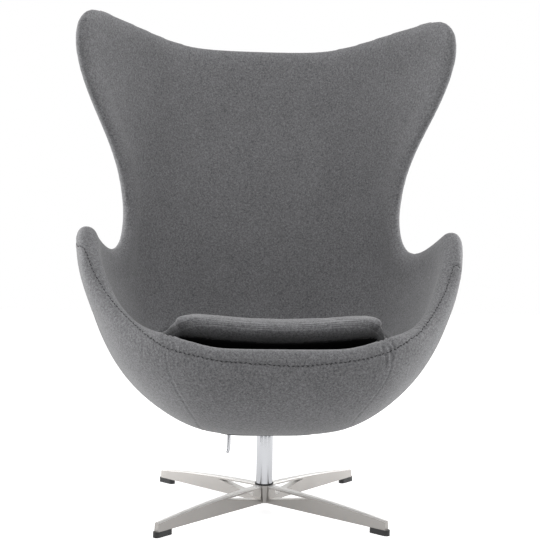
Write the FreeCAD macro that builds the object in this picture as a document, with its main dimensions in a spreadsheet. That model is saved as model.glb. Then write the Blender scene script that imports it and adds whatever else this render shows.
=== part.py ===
import FreeCAD, Part
import Sketcher
import math
import os
import re

# Lounge chair: an upholstered moulded shell with wings and arms, on a tilting swivel and a four-arm star base.
# The origin is on the floor under the column, +Z is up and the sitter faces -Y. All sizes are in millimetres.

DEG = math.pi / 180
V = FreeCAD.Vector
doc = FreeCAD.newDocument("lounge_chair")

# Driving sizes: alias, value and what it is
SIZES = [
    ("hub_diameter", 40, "barrel of the star base"),
    ("hub_top", 48, "height of the top of the hub"),
    ("bolt_recess", 9, "depth of the recess for the bolt head under the hub"),
    ("hub_web", 4, "metal between that recess and the column socket"),
    ("arm_span", 317, "radius at which a base arm ends"),
    ("arm_tip_top", 29, "height of the top of a base arm at its tip"),
    ("arm_tip_width", 10, "width of a base arm at its tip"),
    ("arm_middle_top", 43, "height of the top of a base arm halfway out"),
    ("arm_middle_width", 15, "width of a base arm halfway out"),
    ("arm_root_width", 20, "width of a base arm at the hub"),
    ("arm_edge", 2.5, "bevel along the top edges of a base arm"),
    ("arm_draft", 1.5, "how much wider a base arm is at its foot, each side"),
    ("scoop_web", 8, "web left between the scoops on the sides of an arm"),
    ("scoop_reach", 128, "radius at which the scoops run out"),
    ("scoop_flange", 5, "metal above a scoop"),
    ("glide_height", 11, "height of a glide"),
    ("glide_length", 45, "length of a glide"),
    ("glide_width", 15, "width of a glide"),
    ("glide_radius", 301, "radius of the middle of a glide"),
    ("glide_screw", 4, "thread diameter of a glide screw"),
    ("glide_screw_bite", 9, "depth of a glide screw in its arm"),
    ("column_diameter", 36, "outside of the column tube"),
    ("column_wall", 3, "wall of the column tube"),
    ("column_top", 186, "height of the top of the column tube"),
    ("ring_height", 3, "height of the gasket round the foot of the column"),
    ("ring_wall", 2, "wall of that gasket"),
    ("plug_height", 22, "height of the threaded plug in the foot of the column"),
    ("foot_room", 12, "room for the foot of the spindle above that plug"),
    ("bolt_diameter", 10, "thread of the bolt under the hub"),
    ("washer_thickness", 2, "washer under that bolt"),
    ("bush_height", 24, "height of a column bush"),
    ("bush_flange", 3, "flange of the upper column bush"),
    ("spindle_diameter", 22, "turning spindle in the column"),
    ("washer_height", 2, "thrust washer on the upper bush"),
    ("clip_thickness", 1.5, "thickness of a retaining clip"),
    ("running_fit", 0.05, "radial clearance of a turning or pushed-in fit"),
    ("side_play", 0.5, "clearance between faces that pass each other"),
    ("housing_width", 76, "width of the plate of the tilt housing"),
    ("housing_depth", 96, "depth of the plate of the tilt housing"),
    ("housing_plate", 6, "thickness of that plate"),
    ("cheek_thickness", 6, "thickness of a cheek of the tilt housing"),
    ("cheek_reach", 16, "half the depth of a cheek"),
    ("axle_rise", 14, "height of the tilt axle above the housing plate"),
    ("axle_diameter", 16, "tilt axle"),
    ("axle_eye", 12, "radius of the cheeks over the tilt axle"),
    ("bracket_width", 150, "width and depth of the seat bracket"),
    ("bracket_plate", 5, "thickness of the plate of the seat bracket"),
    ("bracket_rise", 19, "height of that plate above the tilt axle"),
    ("bracket_cheek", 8, "thickness of a cheek of the seat bracket"),
    ("bracket_eye", 17, "radius of metal round the eyes of the seat bracket"),
    ("spacer_thickness", 2, "washer between the cheeks"),
    ("rubber_wall", 4, "wall of the rubber torsion sleeve"),
    ("tilt_limit", 12, "how far the seat tilts back, in degrees"),
    ("buffer_diameter", 10, "rubber buffer that stops the tilt"),
    ("buffer_reach", 30, "distance of the buffers from the tilt axle"),
    ("buffer_spread", 20, "distance of the buffers from the middle"),
    ("brake_reach", 48, "distance of the lever shaft in front of the tilt axle"),
    ("brake_radius", 30, "radius of the brake segment round the tilt axle"),
    ("brake_thickness", 5, "thickness of the brake segment"),
    ("brake_width", 20, "width of the brake segment"),
    ("cam_throw", 7, "how far the brake cam is off its shaft"),
    ("cam_width", 16, "width of the brake cam"),
    ("lever_diameter", 8, "rod of the tilt lever"),
    ("lever_out", 80, "distance of the hanging rod from the middle"),
    ("lever_drop", 82, "length of the rod below its shaft"),
    ("lever_bend", 14, "bend radius of the rod"),
    ("lever_swing", 35, "how far the lever swings forward, in degrees"),
    ("seat_screw", 8, "thread of the screws under the seat"),
    ("seat_screw_spread", 60, "distance of those screws from the middle, both ways"),
    ("lip_reach", 380, "front lip of the shell from the column"),
    ("floor_drop", 15, "lowest point of the middle of the shell wall below the tilt axle"),
    ("lip_rise", 185, "height of the front lip above that lowest point"),
    ("arm_half_width", 380, "half the width over the arms"),
    ("arm_rise", 407, "height of the arms above the lowest point"),
    ("arm_forward", 124, "tips of the arms from the column"),
    ("waist_half_width", 310, "half the width of the shell between arms and wings"),
    ("waist_back", 146, "edge of the shell at the waist from the column"),
    ("wing_half_width", 430, "half the width over the wings"),
    ("wing_rise", 872, "height of the tips of the wings above the lowest point"),
    ("back_reach", 372, "back of the shell from the column"),
    ("top_rise", 856, "height of the middle of the top edge above the lowest point"),
    ("arm_tip_radius", 34, "rounding of the tip of an arm"),
    ("wing_tip_radius", 46, "rounding of the tip of a wing"),
    ("core_thickness", 6, "moulded wall of the shell"),
    ("seat_padding", 26, "inner padding at seat and arms, from the middle of the wall"),
    ("back_padding", 18, "inner padding at the wings, from the middle of the wall"),
    ("under_padding", 20, "outer padding at seat and arms, from the middle of the wall"),
    ("rear_padding", 17, "outer padding at the wings, from the middle of the wall"),
    ("nose_depth", 32, "depth over which the rim is rounded"),
    ("seam_angle", 80, "place of the sewn seam on the rounded rim, in degrees from its crest"),
    ("seam_dip", 1.2, "how deep the seams are drawn in"),
    ("layer_gap", 0.6, "clearance between layers of the shell"),
    ("apron_half_width", 200, "half the width of the front apron at the lip"),
    ("well_half_width", 100, "half the width of the recess under the seat"),
    ("insert_barrel", 11, "diameter of a threaded insert"),
    ("insert_flange", 2, "flange of a threaded insert"),
    ("panel_margin", 11, "bottom panel beyond the recess"),
    ("panel_drop", 22, "underside of the bottom panel below the lowest point of the wall"),
    ("panel_thickness", 3, "thickness of the bottom panel"),
    ("deck_drop", 11, "front of the seat deck below the lip"),
    ("deck_slope", 8.5, "fall of the deck to the back, in degrees"),
    ("deck_radius", 2600, "radius of the hollow of the deck from side to side"),
    ("lining_thickness", 3, "black lining under the cushion"),
    ("cushion_front", 343, "front edge of the cushion from the column"),
    ("cushion_edge", 30, "thickness of the front edge of the cushion"),
    ("cushion_crown", 56, "thickness of the middle of the cushion"),
    ("cushion_side_gap", 12, "clearance round the sides and back of the cushion"),
    ("cushion_lift", 19, "how far the front edge curls up off the deck"),
    ("cushion_smile", 10, "how much higher it curls at its corners"),
    ("cushion_overhang", 22, "lining set back from the edge of the cushion"),
    ("cushion_bow", 13, "how much further back the front edge of the cushion is at its corners"),
    ("cushion_corner", 12, "rounding of the front corners of the cushion in plan"),
    ("curl_start", 186, "where the cushion starts to curl up, in front of the column"),
    ("hole_margin", 3, "room round the column and the lever in the bottom panel"),
]

sheet = doc.addObject("Spreadsheet::Sheet", "sizes")
for row, (alias, value, meaning) in enumerate(SIZES, start=1):
    sheet.set("A%d" % row, alias)
    sheet.set("B%d" % row, str(value))
    sheet.set("C%d" % row, meaning)
    sheet.setAlias("B%d" % row, alias)
doc.recompute()
ALIASES = [alias for alias, value, meaning in SIZES]
PARTS = []

# Heights and widths that follow from the sizes
SOCKET_FLOOR = "(glide_height + bolt_recess + hub_web)"
SPINDLE_FOOT = "(%s + plug_height + side_play)" % SOCKET_FLOOR
LOWER_BUSH = "(%s + plug_height + foot_room)" % SOCKET_FLOOR
HOUSING_FLOOR = "(column_top + bush_flange + washer_height + running_fit)"
HOUSING_TOP = "(%s + housing_plate)" % HOUSING_FLOOR
AXLE_HEIGHT = "(%s + axle_rise)" % HOUSING_TOP
BRACKET_FLOOR = "(%s + bracket_rise)" % AXLE_HEIGHT
WELL_CEILING = "(%s + bracket_plate + running_fit)" % BRACKET_FLOOR
BRACKET_INNER = "(housing_width / 2 + spacer_thickness + side_play)"
BRACKET_OUTER = "(%s + bracket_cheek)" % BRACKET_INNER
AXLE_CLIP = "(%s + side_play / 2)" % BRACKET_OUTER
CAM_RADIUS = "(brake_reach - brake_radius - cam_throw - side_play)"
SCREW_PLACE = "(glide_radius - glide_width / 2)"
SEAT_FLOOR = "(%s - floor_drop)" % AXLE_HEIGHT


def size(alias):
    """A driving size as a plain number."""
    return float(sheet.get(alias))


def formula(text):
    """The same text with each alias pointed at the sheet."""
    def point(match):
        word = match.group(0)
        return "sizes." + word if word in ALIASES else word
    return re.sub(r"[A-Za-z_]+", point, text)


def worked(text):
    """The value of a formula of sizes."""
    return float(sheet.evalExpression(formula(text)))


def bind(thing, **formulas):
    """Tie properties to formulas; Placement parts are written base_x, base_y and base_z."""
    places = {"base_x": "Placement.Base.x", "base_y": "Placement.Base.y", "base_z": "Placement.Base.z"}
    for name, text in formulas.items():
        thing.setExpression(places.get(name, name), formula(text))


def finished(thing, label):
    """Mark an object as a sub-part of the chair."""
    thing.Label = label
    PARTS.append(thing)
    return thing


def place(thing, x, y, z):
    bind(thing, base_x=x, base_y=y, base_z=z)
    return thing


def box(name, length, width, height, x, y, z):
    """A box whose lowest corner is at x, y, z."""
    thing = doc.addObject("Part::Box", name)
    bind(thing, Length=length, Width=width, Height=height)
    return place(thing, x, y, z)


def rod(name, radius, length, x, y, z, along_x=False):
    """A round bar standing on x, y, z, or lying along X from there."""
    thing = doc.addObject("Part::Cylinder", name)
    if along_x:
        thing.Placement.Rotation = FreeCAD.Rotation(V(0, 1, 0), 90)
    bind(thing, Radius=radius, Height=length)
    return place(thing, x, y, z)


def fuse(name, pieces):
    thing = doc.addObject("Part::MultiFuse", name)
    thing.Shapes = pieces
    return thing


def cut(name, base, tools):
    thing = doc.addObject("Part::Cut", name)
    thing.Base = base
    thing.Tool = tools[0] if len(tools) == 1 else fuse(name + "_tools", tools)
    return thing


def group(label, pieces):
    """Like pieces that share one sub-part."""
    thing = doc.addObject("Part::Compound", label)
    thing.Links = pieces
    return finished(thing, label)


def turned(thing, degrees):
    """The same object turned about the column."""
    thing.Placement = FreeCAD.Placement(V(0, 0, 0), FreeCAD.Rotation(V(0, 0, 1), degrees))
    return thing


def new_body(label):
    return finished(doc.addObject("PartDesign::Body", label), label)


def sketch_on(body, name, role, corners, offset=None):
    """A closed sketch of straight lines; every corner is a pair of formulas bound to the sheet."""
    sketch = body.newObject("Sketcher::SketchObject", name)
    plane = [part for part in body.Origin.OriginFeatures if part.Role == role][0]
    sketch.AttachmentSupport = [(plane, "")]
    sketch.MapMode = "FlatFace"
    if offset:
        sketch.setExpression("AttachmentOffset.Base.z", formula(offset))
    points = [V(worked(across), worked(up), 0) for across, up in corners]
    count = len(points)
    for index in range(count):
        sketch.addGeometry(Part.LineSegment(points[index], points[(index + 1) % count]))
    for index in range(count):
        sketch.addConstraint(Sketcher.Constraint("Coincident", index, 2, (index + 1) % count, 1))
    for index, pair in enumerate(corners):
        for kind, text, value in zip(("DistanceX", "DistanceY"), pair, points[index]):
            made = sketch.addConstraint(Sketcher.Constraint(kind, -1, 1, index, 1, value))
            sketch.setExpression("Constraints[%d]" % made, formula(text))
    return sketch


def lathe(label, corners):
    """A turned piece: its half section, radius then height, spun about the Z axis."""
    body = new_body(label)
    sketch = sketch_on(body, label + "_section", "XZ_Plane", corners)
    spin = body.newObject("PartDesign::Revolution", label + "_spin")
    spin.Profile = sketch
    spin.ReferenceAxis = (sketch, ["V_Axis"])
    spin.Angle = 360
    return body


# The star base: a hub with four arms, cast in one piece

def arm_section(body, name, reach, top, foot, width):
    """The section of a base arm at one radius: flat foot, drawn-in sides and bevelled top."""
    half_top = "(%s) / 2" % width
    half_foot = half_top + " + arm_draft"
    corners = [
        ("-(%s)" % half_foot, foot),
        (half_foot, foot),
        (half_top, "%s - arm_edge" % top),
        ("%s - arm_edge" % half_top, top),
        ("-(%s - arm_edge)" % half_top, top),
        ("-(%s)" % half_top, "%s - arm_edge" % top),
    ]
    return sketch_on(body, name, "YZ_Plane", corners, offset=reach)


def star_base():
    body = new_body("star_base")
    hub = body.newObject("PartDesign::AdditiveCylinder", "hub")
    bind(hub, Radius="hub_diameter / 2", Height="hub_top - glide_height")
    bind(hub, base_z="glide_height")
    root = arm_section(body, "arm_root", "2", "hub_top", "glide_height", "arm_root_width")
    middle = arm_section(body, "arm_middle", "arm_span / 2", "arm_middle_top", "glide_height", "arm_middle_width")
    tip = arm_section(body, "arm_tip", "arm_span", "arm_tip_top", "glide_height", "arm_tip_width")
    arm = body.newObject("PartDesign::AdditiveLoft", "arm")
    arm.Profile = root
    arm.Sections = [middle, tip]
    arm.Ruled = False
    doc.recompute()
    scoops = [scoop(body, "scoop_left", "scoop_web / 2", False), scoop(body, "scoop_right", "-scoop_web / 2", True)]
    screw_hole = body.newObject("PartDesign::SubtractiveCylinder", "screw_hole")
    bind(screw_hole, Radius="glide_screw / 2 + running_fit", Height="glide_screw_bite + 2")
    bind(screw_hole, base_x=SCREW_PLACE, base_z="glide_height - 1")
    doc.recompute()
    arms = body.newObject("PartDesign::PolarPattern", "arms")
    arms.Originals = [arm] + scoops + [screw_hole]
    arms.Axis = ([axis for axis in body.Origin.OriginFeatures if axis.Role == "Z_Axis"][0], [""])
    arms.Angle = 360
    arms.Occurrences = 4
    doc.recompute()
    body.Tip = arms
    doc.recompute()
    bore = body.newObject("PartDesign::Groove", "bore")
    bore.Profile = sketch_on(body, "bore_section", "XZ_Plane", [
        ("0", "glide_height - 1"),
        ("hub_diameter / 2 - 6", "glide_height - 1"),
        ("hub_diameter / 2 - 6", "%s - hub_web" % SOCKET_FLOOR),
        ("bolt_diameter / 2 + running_fit * 4", "%s - hub_web" % SOCKET_FLOOR),
        ("bolt_diameter / 2 + running_fit * 4", SOCKET_FLOOR),
        ("column_diameter / 2 + running_fit", SOCKET_FLOOR),
        ("column_diameter / 2 + running_fit", "hub_top + 1"),
        ("0", "hub_top + 1"),
    ])
    bore.ReferenceAxis = (bore.Profile[0], ["V_Axis"])
    bore.Angle = 360
    body.Placement = FreeCAD.Placement(V(0, 0, 0), FreeCAD.Rotation(V(0, 0, 1), 45))


def scoop(body, name, offset, other_side):
    """The three-cornered hollow on one side of an arm, between its top flange and its foot."""
    corners = [
        ("hub_diameter / 2 + 3", "glide_height + 9"),
        ("hub_diameter / 2 + 3", "hub_top - scoop_flange"),
        ("scoop_reach", "arm_middle_top - scoop_flange + 1"),
    ]
    sketch = sketch_on(body, name + "_outline", "XZ_Plane", corners, offset=offset)
    hollow = body.newObject("PartDesign::Pocket", name)
    hollow.Profile = sketch
    hollow.Type = "Length"
    hollow.Length = 30
    hollow.Reversed = other_side
    doc.recompute()
    return hollow


def glides():
    """Four black glides under the arm tips, each held by a screw from below."""
    names = ["glide_back_right", "glide_back_left", "glide_front_left", "glide_front_right"]
    screws = []
    for index, name in enumerate(names):
        half = "glide_length / 2 - glide_width / 2"
        middle = box(name + "_bar", "glide_length - glide_width", "glide_width", "glide_height",
                     "glide_radius - (%s)" % half, "-glide_width / 2", "0")
        ends = [rod("%s_end_%s" % (name, side), "glide_width / 2", "glide_height",
                    "glide_radius %s (%s)" % (sign, half), "0", "0")
                for side, sign in (("inner", "-"), ("outer", "+"))]
        block = fuse(name + "_block", [middle] + ends)
        hole = rod(name + "_hole", "glide_screw / 2 + running_fit", "glide_height", SCREW_PLACE, "0", "0")
        sink = rod(name + "_sink", "glide_screw + running_fit", "glide_height / 2", SCREW_PLACE, "0", "0")
        glide = cut(name, block, [hole, sink])
        finished(turned(glide, 45 + 90 * index), name)
        shank = rod(name + "_shank", "glide_screw / 2", "glide_height / 2 + glide_screw_bite",
                    SCREW_PLACE, "0", "glide_height / 2")
        head = rod(name + "_head", "glide_screw", "glide_screw / 2", SCREW_PLACE, "0",
                   "(glide_height - glide_screw) / 2")
        screws.append(turned(fuse(name + "_screw", [shank, head]), 45 + 90 * index))
    group("glide_screws", screws)


# The column: a tube plugged and bolted at its foot, with bushes for the turning spindle

def ring_profile(inner, outer, low, high):
    return [(inner, low), (outer, low), (outer, high), (inner, high)]


def column():
    bore = "(column_diameter / 2 - column_wall)"
    lathe("column_tube", ring_profile(bore, "column_diameter / 2", SOCKET_FLOOR, "column_top"))
    lathe("column_ring", ring_profile("column_diameter / 2 + running_fit", "column_diameter / 2 + ring_wall",
                                      "hub_top", "hub_top + ring_height"))
    lathe("column_plug", ring_profile("bolt_diameter / 2 + running_fit", bore + " - running_fit",
                                      SOCKET_FLOOR, SOCKET_FLOOR + " + plug_height"))
    recess = "(glide_height + bolt_recess)"
    seat = "(%s - washer_thickness)" % recess
    lathe("column_washer", ring_profile("bolt_diameter / 2 + running_fit", "bolt_diameter + 1", seat, recess))
    head = "bolt_diameter * 0.6"
    lathe("column_bolt", [
        ("0", "%s - %s" % (seat, head)),
        ("bolt_diameter * 0.85", "%s - %s" % (seat, head)),
        ("bolt_diameter * 0.85", seat),
        ("bolt_diameter / 2", seat),
        ("bolt_diameter / 2", SOCKET_FLOOR + " + plug_height - 2"),
        ("0", SOCKET_FLOOR + " + plug_height - 2"),
    ])
    shaft = "spindle_diameter / 2 + running_fit"
    lathe("lower_bush", ring_profile(shaft, bore + " - running_fit", LOWER_BUSH, LOWER_BUSH + " + bush_height"))
    lathe("upper_bush", [
        (shaft, "column_top - bush_height"),
        (bore + " - running_fit", "column_top - bush_height"),
        (bore + " - running_fit", "column_top"),
        ("column_diameter / 2", "column_top"),
        ("column_diameter / 2", "column_top + bush_flange"),
        (shaft, "column_top + bush_flange"),
    ])
    lathe("thrust_washer", ring_profile(shaft, "column_diameter / 2", "column_top + bush_flange",
                                        "column_top + bush_flange + washer_height"))


# The swivel: a spindle with the tilt housing on its head

def spindle():
    groove_low = "(%s + 2 * side_play + 2)" % SPINDLE_FOOT
    groove_high = "(%s + clip_thickness + 2 * running_fit)" % groove_low
    groove = "spindle_diameter / 2 - 1"
    lathe("spindle", [
        ("0", SPINDLE_FOOT),
        ("spindle_diameter / 2", SPINDLE_FOOT),
        ("spindle_diameter / 2", groove_low),
        (groove, groove_low),
        (groove, groove_high),
        ("spindle_diameter / 2", groove_high),
        ("spindle_diameter / 2", HOUSING_TOP),
        ("0", HOUSING_TOP),
    ])
    lathe("spindle_clip", ring_profile(groove + " + running_fit", "spindle_diameter / 2 + 2",
                                       groove_low + " + running_fit",
                                       groove_low + " + running_fit + clip_thickness"))


def tilt_housing():
    plate = box("housing_plate_blank", "housing_width", "housing_depth", "housing_plate",
                "-housing_width / 2", "-housing_depth / 2", HOUSING_FLOOR)
    pieces = [plate]
    for side, start in (("left", "-housing_width / 2"), ("right", "housing_width / 2 - cheek_thickness")):
        pieces.append(box("housing_cheek_" + side, "cheek_thickness", "2 * cheek_reach", "axle_rise",
                          start, "-cheek_reach", HOUSING_TOP))
        pieces.append(rod("housing_eye_" + side, "axle_eye", "cheek_thickness", start, "0", AXLE_HEIGHT, along_x=True))
    solid = fuse("housing_solid", pieces)
    hole = rod("housing_hole", "spindle_diameter / 2 + running_fit", "housing_plate + 2", "0", "0",
               HOUSING_FLOOR + " - 1")
    eye = rod("housing_bore", "axle_diameter / 2 + running_fit", "housing_width + 2",
              "-housing_width / 2 - 1", "0", AXLE_HEIGHT, along_x=True)
    finished(cut("tilt_housing", solid, [hole, eye]), "tilt_housing")


def brake_segment():
    """A curved shoe round the tilt axle, in front of it, for the brake cam to press on."""
    outer = rod("segment_outer", "brake_radius", "brake_width", "-brake_width / 2", "0", AXLE_HEIGHT, along_x=True)
    inner = rod("segment_inner", "brake_radius - brake_thickness", "brake_width + 2",
                "-brake_width / 2 - 1", "0", AXLE_HEIGHT, along_x=True)
    sector = box("segment_sector", "brake_width", "brake_radius / 2", "axle_rise + brake_radius / 3",
                 "-brake_width / 2", "-brake_radius", HOUSING_TOP)
    segment = doc.addObject("Part::Common", "brake_segment")
    segment.Base = cut("segment_tube", outer, [inner])
    segment.Tool = sector
    finished(segment, "brake_segment")


def tilt_axle():
    end = "(%s + clip_thickness + 3)" % AXLE_CLIP
    waist = "axle_diameter / 2 - 1"
    full = "axle_diameter / 2"
    inner = "(%s - running_fit)" % AXLE_CLIP
    outer = "(%s + clip_thickness + running_fit)" % AXLE_CLIP
    axle = lathe("tilt_axle", [
        ("0", "-" + end), (full, "-" + end), (full, "-" + outer), (waist, "-" + outer), (waist, "-" + inner),
        (full, "-" + inner), (full, inner), (waist, inner), (waist, outer), (full, outer), (full, end), ("0", end),
    ])
    axle.Placement.Rotation = FreeCAD.Rotation(V(0, 1, 0), 90)
    bind(axle, base_z=AXLE_HEIGHT)
    rings("axle_clips", waist + " + running_fit", full + " + 3", "clip_thickness", AXLE_CLIP, "0")
    rings("axle_spacers", full + " + running_fit", "axle_eye", "spacer_thickness",
          "(housing_width / 2 + side_play / 2)", "0")


def rings(label, inner, outer, thickness, start, y):
    """Two like rings on an axle along X, one each side of the middle."""
    pair = []
    for side, low in (("left", "-(%s) - (%s)" % (start, thickness)), ("right", start)):
        disc = rod("%s_%s_disc" % (label, side), outer, thickness, low, y, AXLE_HEIGHT, along_x=True)
        hole = rod("%s_%s_hole" % (label, side), inner, "(%s) + 2" % thickness, "%s - 1" % low, y, AXLE_HEIGHT, along_x=True)
        pair.append(cut("%s_%s" % (label, side), disc, [hole]))
    return group(label, pair)


def stop_buffers():
    """Rubber posts: the front pair holds the seat level, the back pair stops it tilted."""
    level = "bracket_rise + axle_rise - side_play"
    tilted = "axle_rise + (bracket_rise - (buffer_reach + buffer_diameter / 2) * sin(tilt_limit)) / cos(tilt_limit)"
    posts = []
    for end, reach, height in (("front", "-buffer_reach", level), ("back", "buffer_reach", tilted + " - side_play")):
        for side, sign in (("left", "-"), ("right", "")):
            posts.append(rod("buffer_%s_%s" % (end, side), "buffer_diameter / 2", height,
                             sign + "buffer_spread", reach, HOUSING_TOP))
    group("stop_buffers", posts)


# The seat bracket: a plate under the shell whose cheeks turn on the tilt axle

def seat_bracket():
    pieces = [box("bracket_plate_blank", "bracket_width", "bracket_width", "bracket_plate",
                  "-bracket_width / 2", "-bracket_width / 2", BRACKET_FLOOR)]
    for side, start in (("left", "-" + BRACKET_OUTER), ("right", BRACKET_INNER)):
        pieces.append(box("bracket_cheek_" + side, "bracket_cheek", "brake_reach + bracket_eye", "bracket_rise",
                          start, "-brake_reach", AXLE_HEIGHT))
        pieces.append(rod("bracket_eye_" + side, "bracket_eye", "bracket_cheek", start, "0", AXLE_HEIGHT, along_x=True))
        pieces.append(rod("bracket_boss_" + side, "lever_diameter", "bracket_cheek", start, "-brake_reach",
                          AXLE_HEIGHT, along_x=True))
    tools = [
        rod("bracket_bore", "axle_diameter / 2 + rubber_wall + 2 * running_fit", "2 * %s + 2" % BRACKET_OUTER,
            "-%s - 1" % BRACKET_OUTER, "0", AXLE_HEIGHT, along_x=True),
        rod("bracket_lever_bore", "lever_diameter / 2 + 2 + 2 * running_fit", "2 * %s + 2" % BRACKET_OUTER,
            "-%s - 1" % BRACKET_OUTER, "-brake_reach", AXLE_HEIGHT, along_x=True),
    ]
    tools += four("bracket_hole", "seat_screw / 2 + running_fit", "bracket_plate + 2", BRACKET_FLOOR + " - 1")
    finished(cut("seat_bracket", fuse("bracket_solid", pieces), tools), "seat_bracket")
    rings("rubber_sleeves", "axle_diameter / 2 + running_fit", "axle_diameter / 2 + rubber_wall + running_fit",
          "bracket_cheek", BRACKET_INNER, "0")
    rings("lever_bushes", "lever_diameter / 2 + running_fit", "lever_diameter / 2 + 2 + running_fit",
          "bracket_cheek", BRACKET_INNER, "-brake_reach")


def four(name, radius, height, low):
    """Four upright bars at the places of the seat screws."""
    places = [(x, y) for x in ("-", "") for y in ("-", "")]
    return [rod("%s_%d" % (name, index), radius, height, x + "seat_screw_spread", y + "seat_screw_spread", low)
            for index, (x, y) in enumerate(places)]


def seat_screws():
    heads = four("seat_screw_head", "seat_screw * 0.8", "seat_screw * 0.6", "%s - seat_screw * 0.6" % BRACKET_FLOOR)
    shanks = four("seat_screw_shank", "seat_screw / 2", "bracket_plate + core_thickness", BRACKET_FLOOR)
    group("seat_screws", [fuse("seat_screw_%d" % index, [head, shank])
                          for index, (head, shank) in enumerate(zip(heads, shanks))])
    barrels = four("insert_body", "insert_barrel / 2", "core_thickness", WELL_CEILING)
    flanges = four("insert_disc", "insert_barrel", "insert_flange", WELL_CEILING + " + core_thickness")
    bores = four("insert_bore", "seat_screw / 2 + running_fit", "core_thickness + insert_flange + 2",
                 WELL_CEILING + " - 1")
    inserts = []
    for index, (barrel, flange, bore) in enumerate(zip(barrels, flanges, bores)):
        inserts.append(cut("insert_%d" % index, fuse("insert_solid_%d" % index, [barrel, flange]), [bore]))
    group("shell_inserts", inserts)


# The tilt lever: a bent rod with the brake cam on its shaft

def tilt_lever():
    radius = size("lever_diameter") / 2
    out = size("lever_out")
    drop = size("lever_drop")
    bend = size("lever_bend")
    flare = drop * 0.75
    lean = radius * 0.6
    corner = bend * math.sin(45 * DEG)
    start = V(worked(BRACKET_OUTER) + radius, 0, 0)
    turn_in = V(bend - out, 0, 0)
    turn_middle = V(bend - out - corner, 0, corner - bend)
    turn_out = V(-out, 0, -bend)
    flare_start = V(-out, 0, -flare)
    tip = V(-out - lean, 0, -drop)
    flare_middle = V(-out - lean * 0.25, 0, -(flare + drop) / 2)
    path = Part.Wire([
        Part.LineSegment(start, turn_in).toShape(),
        Part.Arc(turn_in, turn_middle, turn_out).toShape(),
        Part.LineSegment(turn_out, flare_start).toShape(),
        Part.Arc(flare_start, flare_middle, tip).toShape(),
    ])
    section = Part.Wire(Part.Circle(start, V(1, 0, 0), radius).toShape())
    bar = path.makePipeShell([section], True, False)
    thing = finished(doc.addObject("Part::Feature", "tilt_lever"), "tilt_lever")
    thing.Shape = bar.fuse(Part.makeSphere(radius, tip)).removeSplitter()
    thing.Placement = FreeCAD.Placement(V(0, -size("brake_reach"), worked(AXLE_HEIGHT)), FreeCAD.Rotation())


def brake_cam():
    aim = " * %s(lever_swing)"
    disc = rod("cam_disc", CAM_RADIUS, "cam_width", "-cam_width / 2", "-brake_reach + cam_throw" + aim % "cos",
               AXLE_HEIGHT + " + cam_throw" + aim % "sin", along_x=True)
    hub = rod("cam_hub", "lever_diameter", "cam_width", "-cam_width / 2", "-brake_reach", AXLE_HEIGHT, along_x=True)
    bore = rod("cam_bore", "lever_diameter / 2 + running_fit", "cam_width + 2", "-cam_width / 2 - 1",
               "-brake_reach", AXLE_HEIGHT, along_x=True)
    finished(cut("brake_cam", fuse("cam_solid", [disc, hub]), [bore]), "brake_cam")


# The middle of the shell wall: one smooth sheet from the front lip, under the seat and up the back.
# u runs from the lip to the top edge, v from the left rim to the right rim.

def mirrored(point):
    return V(-point.x, point.y, point.z)


def half_stations():
    """Half sections of the sheet: the point on the spine, the point on the rim, and how full the bowl is
    between them, as shares: first width, then width, reach and rise of the belly and of the flank."""
    floor = worked(SEAT_FLOOR)
    lip, lip_rise = size("lip_reach"), size("lip_rise")
    back, top = size("back_reach"), size("top_rise")
    arm, forward, arm_rise = size("arm_half_width"), size("arm_forward"), size("arm_rise")
    waist, waist_back = size("waist_half_width"), size("waist_back")
    wing, wing_rise = size("wing_half_width"), size("wing_rise")
    climb = wing_rise - arm_rise
    return [
        ((-lip, lip_rise), (0.974 * arm, -forward, 0.979 * arm_rise), (0.30, 0.62, 0.10, 0.02, 0.93, 0.62, 0.36)),
        ((-0.974 * lip, 0.66 * lip_rise), (0.995 * arm, -0.83 * forward, arm_rise), (0.29, 0.58, 0.12, 0.03, 0.93, 0.62, 0.38)),
        ((-0.828 * lip, 0.27 * lip_rise), (arm, -0.48 * forward, 0.98 * arm_rise), (0.26, 0.55, 0.12, 0.05, 0.935, 0.60, 0.44)),
        ((-0.430 * lip, 0), (0.979 * arm, 0, 0.934 * arm_rise), (0.24, 0.54, 0.08, 0.05, 0.95, 0.50, 0.43)),
        ((0.109 * back, 0), (0.921 * arm, 0.41 * waist_back, 0.877 * arm_rise), (0.24, 0.55, 0.08, 0.05, 0.975, 0.50, 0.43)),
        ((0.511 * back, 0.045 * top), (0.842 * arm, 0.76 * waist_back, 0.865 * arm_rise), (0.28, 0.60, 0.10, 0.06, 1.02, 0.52, 0.43)),
        ((0.728 * back, 0.192 * top), (0.974 * waist, 0.986 * waist_back, 0.993 * arm_rise), (0.33, 0.68, 0.14, 0.08, 1.02, 0.58, 0.42)),
        ((0.777 * back, 0.402 * top), (waist, waist_back, arm_rise + 0.187 * climb), (0.35, 0.70, 0.18, 0.12, 0.98, 0.62, 0.50)),
        ((0.875 * back, 0.636 * top), (1.09 * waist, 0.845 * waist_back, arm_rise + 0.424 * climb), (0.34, 0.68, 0.20, 0.15, 0.93, 0.62, 0.52)),
        ((0.989 * back, 0.852 * top), (wing, 0.366 * waist_back, arm_rise + 0.778 * climb), (0.33, 0.62, 0.20, 0.15, 0.86, 0.62, 0.60)),
        ((back, top), (0.92 * wing, 0.254 * waist_back, wing_rise), (0.33, 0.58, 0.18, 0.35, 0.92, 0.74, 2.4)),
    ], floor


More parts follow.
